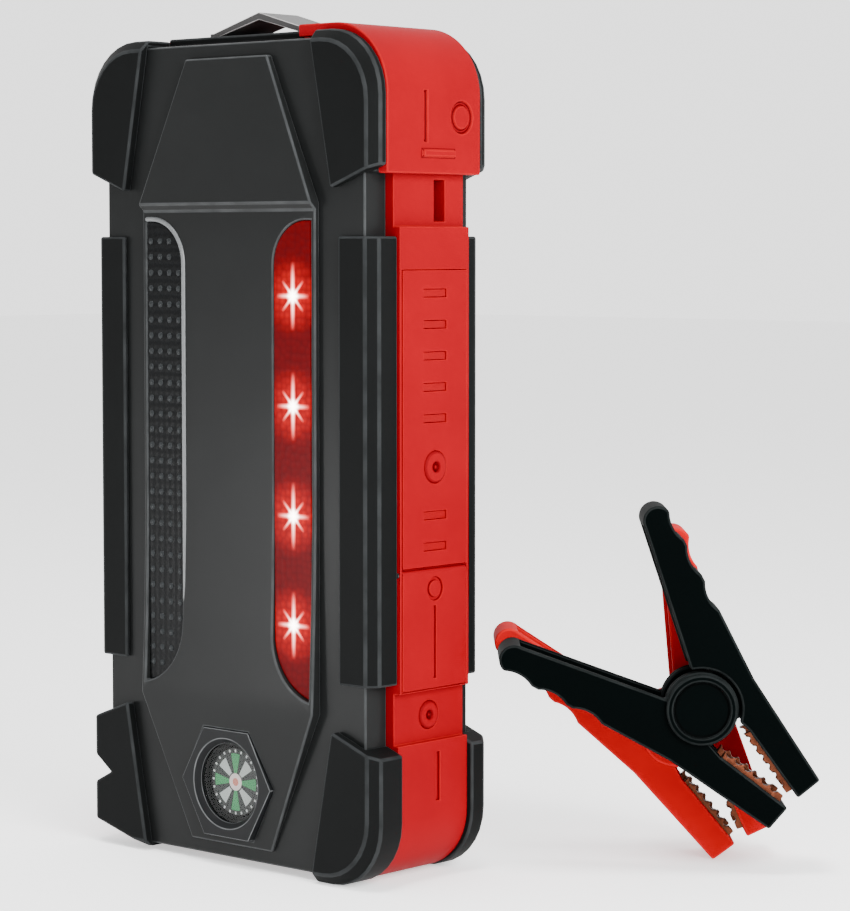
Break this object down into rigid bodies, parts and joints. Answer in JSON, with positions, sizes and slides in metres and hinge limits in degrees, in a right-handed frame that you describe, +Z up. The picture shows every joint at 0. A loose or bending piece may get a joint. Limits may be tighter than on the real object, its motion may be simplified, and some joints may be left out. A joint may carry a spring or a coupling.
{
  "type": "jump starter pack",
  "caption": "Rugged handheld jump starter pack with light strips, compass, button panel, hinged socket covers, belt cutter and a loose pair of spring booster clamps.",
  "frame": {"origin": "middle of the pack's underside, on the surface it stands on", "axes": "+Z up, the front with the light strips faces -Y, the side with the controls faces +X"},
  "size_m": [0.1461, 0.0961, 0.1854],
  "materials": {
    "case_grey": "fine textured moulding",
    "bumper_rubber": "soft moulded bumper",
    "band_red": "satin red moulding",
    "seal_rubber": "matte",
    "lens_smoke": "smoked clear moulding",
    "lens_red": "clear red moulding",
    "board_green": "solder mask",
    "led_white": "clear",
    "led_red": "clear",
    "bezel_grey": "satin",
    "glass": "clear window",
    "cup_black": "matte",
    "card_green": "printed card",
    "steel": "plain",
    "socket_blue": "moulded",
    "brass": "plated",
    "copper": "copper plated, dull",
    "guide_red": "translucent",
    "tongue_white": "moulded",
    "switch_black": "moulded",
    "cell_silver": "pouch foil",
    "tray_grey": "moulded",
    "foam_black": "open foam",
    "bridge_grey": "satin",
    "clamp_black": "moulded",
    "clamp_red": "moulded"
  },
  "bodies": {
    "pack": {"front_shell": "case_grey", "front_panel": "case_grey", "rear_shell": "case_grey", "mid_frame": "band_red", "bumper_top_left": "bumper_rubber", "bumper_top_right": "bumper_rubber", "bumper_bottom_left": "bumper_rubber", "bumper_bottom_right": "bumper_rubber", "rear_bumpers": "bumper_rubber", "front_side_pads": "bumper_rubber", "rear_side_pads": "bumper_rubber", "front_seal": "seal_rubber", "rear_seal": "seal_rubber", "lens_left": "lens_smoke", "lens_right": "lens_red", "led_board_left": "board_green", "led_board_right": "board_green", "leds_left": "led_white", "leds_right": "led_red", "compass_bezel": "bezel_grey", "compass_cup": "cup_black", "compass_needle": "steel", "compass_glass": "glass", "jump_cover_pin": "steel", "jump_socket": "socket_blue", "jump_contacts": "brass", "control_panel": "band_red", "charge_light_guide": "guide_red", "status_light_guide": "guide_red", "port_cover_pin": "steel", "usb_sockets": "steel", "usb_tongues": "tongue_white", "control_board": "board_green", "push_switches": "switch_black", "battery_cells": "cell_silver", "battery_tray": "tray_grey", "battery_foam": "foam_black", "bus_bars": "copper", "top_deck": "bumper_rubber", "carry_bridge": "bridge_grey", "case_screws": "steel", "belt_cutter": "steel"},
    "power_button": {"power_button": "band_red"},
    "light_button": {"light_button": "band_red"},
    "jump_cover": {"jump_cover": "band_red"},
    "port_cover": {"port_cover": "band_red"},
    "compass_card": {"compass_card": "card_green"},
    "black_clamp": {"black_lower_lever": "clamp_black", "black_lower_jaw": "copper", "black_pivot_pin": "clamp_black", "black_spring": "steel"},
    "black_upper": {"black_upper_lever": "clamp_black", "black_upper_jaw": "copper"},
    "red_clamp": {"red_lower_lever": "clamp_red", "red_lower_jaw": "copper", "red_pivot_pin": "clamp_red", "red_spring": "steel"},
    "red_upper": {"red_upper_lever": "clamp_red", "red_upper_jaw": "copper"}
  },
  "joints": [
    {"name": "power_button_press", "type": "slide", "parent": "pack", "child": "power_button", "axis": [-1, 0, 0], "range_m": [0, 0.0005], "stiffness_N_per_m": 600, "springref_m": -0.001},
    {"name": "light_button_press", "type": "slide", "parent": "pack", "child": "light_button", "axis": [-1, 0, 0], "range_m": [0, 0.0005], "stiffness_N_per_m": 600, "springref_m": -0.001},
    {"name": "jump_cover_hinge", "type": "hinge", "parent": "pack", "child": "jump_cover", "pos_m": [0.017, 0, 0.1802], "axis": [0, -1, 0], "range_deg": [0, 100]},
    {"name": "port_cover_hinge", "type": "hinge", "parent": "pack", "child": "port_cover", "pos_m": [0.0423, 0, 0.0661], "axis": [0, -1, 0], "range_deg": [0, 90]},
    {"name": "compass_card_spin", "type": "hinge", "parent": "pack", "child": "compass_card", "pos_m": [0, -0.0167, 0.0183], "axis": [0, -1, 0], "continuous": true},
    {"name": "black_clamp_lift", "type": "slide", "parent": "pack", "child": "black_clamp", "axis": [0, 0, 1], "range_m": [-0.0101, 0.1]},
    {"name": "black_clamp_jaw", "type": "hinge", "parent": "black_clamp", "child": "black_upper", "pos_m": [0.0784, 0.046, 0.03616], "axis": [0.6665, -0.7455, 0], "range_deg": [0, 40], "stiffness_Nm_per_rad": 0.3, "springref_deg": -45.84, "deforming": ["black_spring"]},
    {"name": "red_clamp_lift", "type": "slide", "parent": "pack", "child": "red_clamp", "axis": [0, 0, 1], "range_m": [0, 0.1]},
    {"name": "red_clamp_jaw", "type": "hinge", "parent": "red_clamp", "child": "red_upper", "pos_m": [0.0638, 0.0563, 0.02862], "axis": [0.6665, -0.7455, 0], "range_deg": [0, 40], "stiffness_Nm_per_rad": 0.3, "springref_deg": -45.84, "deforming": ["red_spring"]}
  ]
}
